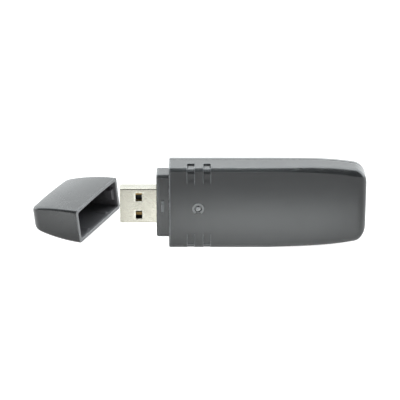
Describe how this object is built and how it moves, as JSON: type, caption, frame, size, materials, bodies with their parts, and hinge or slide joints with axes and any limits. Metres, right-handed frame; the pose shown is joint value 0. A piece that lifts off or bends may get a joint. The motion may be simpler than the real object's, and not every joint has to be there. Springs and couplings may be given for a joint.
{
  "type": "usb wifi adapter",
  "caption": "Stick-shaped USB wifi adapter with a stepped collar, steel plug, grip grooves, status light and a hollow push-on cap lying beside the plug.",
  "frame": {"origin": "centre of the plug's section in the collar's end face, where the plug leaves the collar", "axes": "+X along the stick away from the plug's tip, +Y from the front face to the rear face, +Z across the broad face; the stick stands on its narrow side and the cap lies on a broad face at the plug's end"},
  "size_m": [0.1099, 0.0346, 0.0278],
  "materials": {
    "shell_front": "dark grey gloss ABS with a fine satin micro texture",
    "shell_rear": "dark grey ABS, slightly lighter and softer in gloss",
    "cap_plastic": "dark grey gloss ABS",
    "plug_steel": "nickel-plated sheet steel, satin",
    "insulator": "black glass-filled plastic",
    "contact_gold": "gold-plated brass",
    "board": "green solder mask over glass-epoxy laminate",
    "shield_steel": "tinned sheet steel",
    "pad": "soft silicone thermal pad",
    "chip": "black moulding compound",
    "can_steel": "nickel can",
    "ferrite": "dark ferrite",
    "ceramic_tan": "tan ceramic with tinned ends",
    "resistor_black": "black film on white ceramic with tinned ends",
    "led_body": "cream plastic with a clear window",
    "clear_pipe": "clear polycarbonate, frosted lens",
    "copper": "tinned and masked copper track",
    "socket_gold": "gold-plated brass",
    "label": "blank satin polyester film"
  },
  "bodies": {
    "adapter": {"front_shell": "shell_front", "rear_shell": "shell_rear", "usb_shell": "plug_steel", "usb_insulator": "insulator", "usb_contacts": "contact_gold", "circuit_board": "board", "shield_frame": "shield_steel", "shield_lid": "shield_steel", "thermal_pad": "pad", "wifi_chip": "chip", "radio_amplifiers": "chip", "crystal": "can_steel", "memory_chip": "chip", "voltage_regulator": "chip", "power_inductor": "ferrite", "capacitors": "ceramic_tan", "resistors": "resistor_black", "status_led": "led_body", "light_pipe": "clear_pipe", "upper_antenna": "copper", "lower_antenna": "copper", "test_sockets": "socket_gold", "rating_label": "label"},
    "cap_body": {"cap": "cap_plastic"}
  },
  "joints": [
    {"name": "cap_turn", "type": "hinge", "parent": "adapter", "child": "cap_body", "pos_m": [-0.02, 0.00212, -0.00826], "axis": [0.9444, -0.1865, 0.2708], "range_deg": [0, 88.94]}
  ]
}
